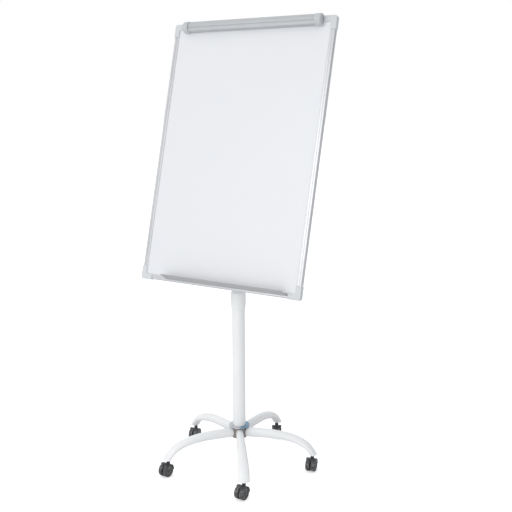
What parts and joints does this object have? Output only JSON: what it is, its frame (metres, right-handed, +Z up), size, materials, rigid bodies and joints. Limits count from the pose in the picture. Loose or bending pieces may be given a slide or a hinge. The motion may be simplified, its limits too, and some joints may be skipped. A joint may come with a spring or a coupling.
{
  "type": "flipchart easel",
  "caption": "Mobile flipchart easel with a tilting framed whiteboard, pad clamp, pen tray, telescopic pole and a five-arm base on castors.",
  "frame": {"origin": "on the floor, under the middle of the whole object's box at rest", "axes": "+Z up, the board faces -Y and leans back towards +Y, +X to the right of a person facing the board"},
  "size_m": [0.7, 0.5894, 1.7099],
  "materials": {
    "white_paint": "satin white powder coat on steel tube",
    "white_plastic": "semi-gloss white moulded plastic",
    "grey_plastic": "light grey moulded plastic, fine texture",
    "black_plastic": "black moulded nylon",
    "wheel_nylon": "black hard nylon",
    "black_steel": "black finished steel",
    "zinc_plated_steel": "bright zinc plate",
    "frame_aluminium": "satin silver anodised",
    "clamp_aluminium": "satin silver anodised",
    "tray_aluminium": "satin silver anodised, slightly darker",
    "board_enamel": "gloss white lacquered steel",
    "fibreboard": "pressed wood fibre",
    "backing_sheet": "plain thin sheet"
  },
  "bodies": {
    "base": {"hub": "zinc_plated_steel", "base_bolt": "zinc_plated_steel", "arm_1": "white_paint", "arm_2": "white_paint", "arm_3": "white_paint", "arm_4": "white_paint", "arm_5": "white_paint", "castor_stem_1": "black_steel", "castor_stem_2": "black_steel", "castor_stem_3": "black_steel", "castor_stem_4": "black_steel", "castor_stem_5": "black_steel", "lower_pole": "white_paint", "guide_bush": "black_plastic"},
    "castor_1": {"castor_hood_1": "black_plastic", "castor_axle_1": "zinc_plated_steel"},
    "castor_2": {"castor_hood_2": "black_plastic", "castor_axle_2": "zinc_plated_steel"},
    "castor_3": {"castor_hood_3": "black_plastic", "castor_axle_3": "zinc_plated_steel"},
    "castor_4": {"castor_hood_4": "black_plastic", "castor_axle_4": "zinc_plated_steel"},
    "castor_5": {"castor_hood_5": "black_plastic", "castor_axle_5": "zinc_plated_steel"},
    "wheel_left_1": {"wheel_left_1": "wheel_nylon"},
    "wheel_right_1": {"wheel_right_1": "wheel_nylon"},
    "wheel_left_2": {"wheel_left_2": "wheel_nylon"},
    "wheel_right_2": {"wheel_right_2": "wheel_nylon"},
    "wheel_left_3": {"wheel_left_3": "wheel_nylon"},
    "wheel_right_3": {"wheel_right_3": "wheel_nylon"},
    "wheel_left_4": {"wheel_left_4": "wheel_nylon"},
    "wheel_right_4": {"wheel_right_4": "wheel_nylon"},
    "wheel_left_5": {"wheel_left_5": "wheel_nylon"},
    "wheel_right_5": {"wheel_right_5": "wheel_nylon"},
    "collar": {"height_collar": "white_plastic"},
    "mast": {"inner_pole": "white_paint", "pole_head": "black_plastic", "tilt_bolt": "zinc_plated_steel"},
    "tilt_lock": {"tilt_knob": "black_plastic"},
    "board": {"board_face": "board_enamel", "board_core": "fibreboard", "board_backing": "backing_sheet", "frame_left": "frame_aluminium", "frame_right": "frame_aluminium", "frame_top": "frame_aluminium", "frame_bottom": "frame_aluminium", "corner_cap_bottom_left": "grey_plastic", "corner_cap_bottom_right": "grey_plastic", "corner_cap_top_left": "grey_plastic", "corner_cap_top_right": "grey_plastic", "crossbar": "white_paint", "clamp_rail": "zinc_plated_steel", "clamp_bracket_left": "grey_plastic", "clamp_bracket_right": "grey_plastic", "clamp_spring_left": "zinc_plated_steel", "clamp_spring_right": "zinc_plated_steel"},
    "tray": {"pen_tray": "tray_aluminium"},
    "clamp": {"clamp_bar": "clamp_aluminium"},
    "hook_left": {"pad_hook_left": "black_plastic"},
    "hook_right": {"pad_hook_right": "black_plastic"}
  },
  "joints": [
    {"name": "castor_swivel_1", "type": "hinge", "parent": "base", "child": "castor_1", "pos_m": [0.17222, -0.25504, 0.056], "axis": [0, 0, 1], "continuous": true},
    {"name": "wheel_spin_left_1", "type": "hinge", "parent": "castor_1", "child": "wheel_left_1", "pos_m": [0.17222, -0.27104, 0.024], "axis": [1, 0, 0], "continuous": true},
    {"name": "wheel_spin_right_1", "type": "hinge", "parent": "castor_1", "child": "wheel_right_1", "pos_m": [0.17222, -0.27104, 0.024], "axis": [1, 0, 0], "continuous": true},
    {"name": "castor_swivel_2", "type": "hinge", "parent": "base", "child": "castor_2", "pos_m": [0.27866, 0.07254, 0.056], "axis": [0, 0, 1], "continuous": true},
    {"name": "wheel_spin_left_2", "type": "hinge", "parent": "castor_2", "child": "wheel_left_2", "pos_m": [0.28253, 0.05702, 0.024], "axis": [0.9703, 0.2419, 0], "continuous": true},
    {"name": "wheel_spin_right_2", "type": "hinge", "parent": "castor_2", "child": "wheel_right_2", "pos_m": [0.28253, 0.05702, 0.024], "axis": [0.9703, 0.2419, 0], "continuous": true},
    {"name": "castor_swivel_3", "type": "hinge", "parent": "base", "child": "castor_3", "pos_m": [0, 0.275, 0.056], "axis": [0, 0, 1], "continuous": true},
    {"name": "wheel_spin_left_3", "type": "hinge", "parent": "castor_3", "child": "wheel_left_3", "pos_m": [0.00848, 0.26143, 0.024], "axis": [0.848, 0.5299, 0], "continuous": true},
    {"name": "wheel_spin_right_3", "type": "hinge", "parent": "castor_3", "child": "wheel_right_3", "pos_m": [0.00848, 0.26143, 0.024], "axis": [0.848, 0.5299, 0], "continuous": true},
    {"name": "castor_swivel_4", "type": "hinge", "parent": "base", "child": "castor_4", "pos_m": [-0.27866, 0.07254, 0.056], "axis": [0, 0, 1], "continuous": true},
    {"name": "wheel_spin_left_4", "type": "hinge", "parent": "castor_4", "child": "wheel_left_4", "pos_m": [-0.27479, 0.05702, 0.024], "axis": [0.9703, 0.2419, 0], "continuous": true},
    {"name": "wheel_spin_right_4", "type": "hinge", "parent": "castor_4", "child": "wheel_right_4", "pos_m": [-0.27479, 0.05702, 0.024], "axis": [0.9703, 0.2419, 0], "continuous": true},
    {"name": "castor_swivel_5", "type": "hinge", "parent": "base", "child": "castor_5", "pos_m": [-0.17222, -0.25504, 0.056], "axis": [0, 0, 1], "continuous": true},
    {"name": "wheel_spin_left_5", "type": "hinge", "parent": "castor_5", "child": "wheel_left_5", "pos_m": [-0.17222, -0.27104, 0.024], "axis": [1, 0, 0], "continuous": true},
    {"name": "wheel_spin_right_5", "type": "hinge", "parent": "castor_5", "child": "wheel_right_5", "pos_m": [-0.17222, -0.27104, 0.024], "axis": [1, 0, 0], "continuous": true},
    {"name": "collar_twist", "type": "hinge", "parent": "base", "child": "collar", "pos_m": [0, -0.018, 0.66], "axis": [0, 0, 1], "range_deg": [0, 120]},
    {"name": "height_slide", "type": "slide", "parent": "base", "child": "mast", "axis": [0, 0, 1], "range_m": [-0.15, 0.2]},
    {"name": "tilt_knob_turn", "type": "hinge", "parent": "mast", "child": "tilt_lock", "pos_m": [0.04, -0.018, 1.072], "axis": [1, 0, 0], "range_deg": [0, 270]},
    {"name": "board_tilt", "type": "hinge", "parent": "mast", "child": "board", "pos_m": [0, -0.018, 1.072], "axis": [-1, 0, 0], "range_deg": [-15, 30]},
    {"name": "tray_slide", "type": "slide", "parent": "board", "child": "tray", "axis": [1, 0, 0], "range_m": [-0.07, 0]},
    {"name": "clamp_hinge", "type": "hinge", "parent": "board", "child": "clamp", "pos_m": [0, 0.07963, 1.6991], "axis": [-1, 0, 0], "range_deg": [0, 45], "stiffness_Nm_per_rad": 0.8, "springref_deg": -28.65},
    {"name": "hook_slide_left", "type": "slide", "parent": "board", "child": "hook_left", "axis": [1, 0, 0], "range_m": [-0.06, 0.12]},
    {"name": "hook_slide_right", "type": "slide", "parent": "board", "child": "hook_right", "axis": [1, 0, 0], "range_m": [-0.12, 0.06]}
  ]
}
